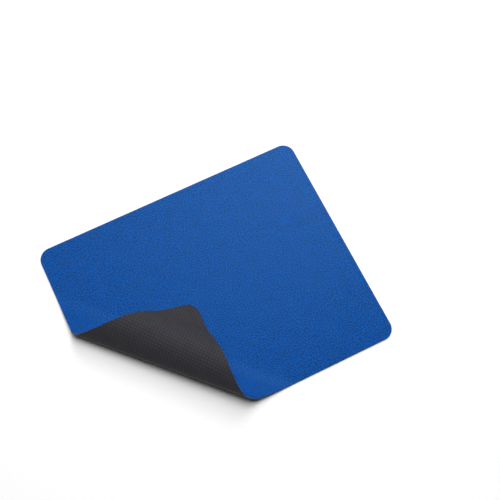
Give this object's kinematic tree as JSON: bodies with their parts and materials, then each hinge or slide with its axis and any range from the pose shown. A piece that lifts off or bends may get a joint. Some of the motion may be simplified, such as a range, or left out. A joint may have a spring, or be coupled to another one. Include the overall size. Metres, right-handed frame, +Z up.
{
  "type": "mouse pad",
  "caption": "Thin rectangular cloth-faced mouse pad with rounded corners and a non-slip rubber underside, shown with one corner rolled up and over.",
  "frame": {"origin": "middle of the flat underside, on the table, under the middle of the 220 by 180 mm outline", "axes": "+X along the long edge, +Y along the short edge, +Z up out of the cloth face; the rolled corner is at -X, -Y"},
  "size_m": [0.22, 0.18, 0.0262],
  "materials": {
    "rubber_base": "matt black foamed rubber with a fine woven imprint",
    "bond_film": "thin hot-melt film, seen only as a line in the cut edge",
    "top_fabric": "matt blue fine-gauge knitted polyester"
  },
  "bodies": {
    "root": {"rubber_base": "rubber_base", "bond_film": "bond_film", "top_fabric": "top_fabric"}
  },
  "joints": []
}
